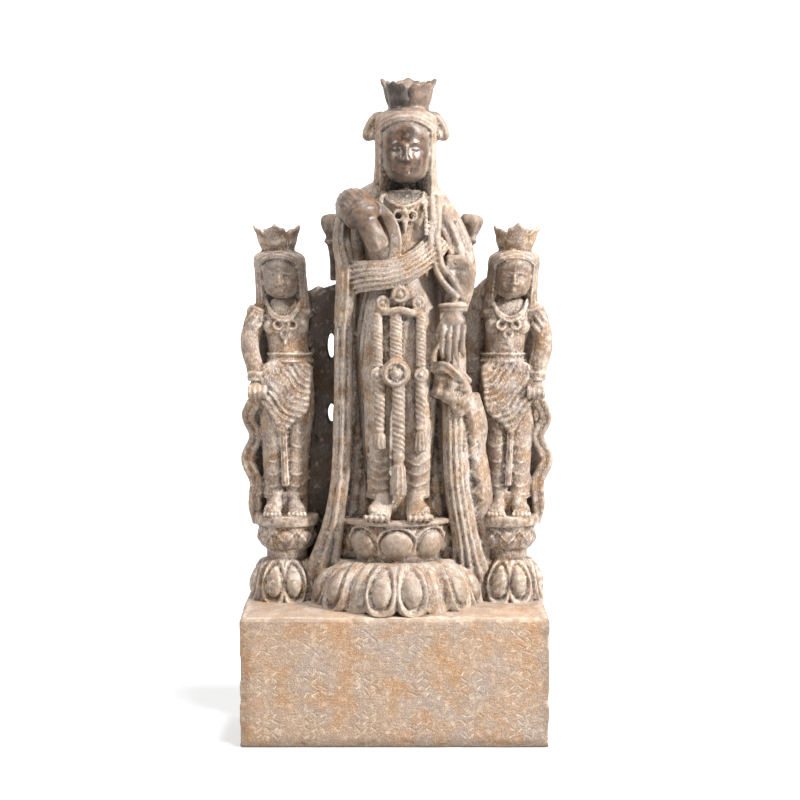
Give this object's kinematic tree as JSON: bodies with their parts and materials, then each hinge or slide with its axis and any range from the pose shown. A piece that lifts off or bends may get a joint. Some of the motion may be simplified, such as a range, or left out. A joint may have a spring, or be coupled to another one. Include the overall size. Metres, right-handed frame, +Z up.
{
  "type": "stone triad carving",
  "caption": "Carved stone votive group of a crowned standing figure between two smaller crowned attendants, on lotus pedestals over a plain rectangular plinth.",
  "frame": {"origin": "middle of the underside", "axes": "+Z up, -Y towards the viewer, +X to the viewer's right"},
  "size_m": [0.2412, 0.11, 0.506],
  "materials": {
    "stone": "worn"
  },
  "bodies": {
    "root": {"stone_carving": "stone"}
  },
  "joints": []
}
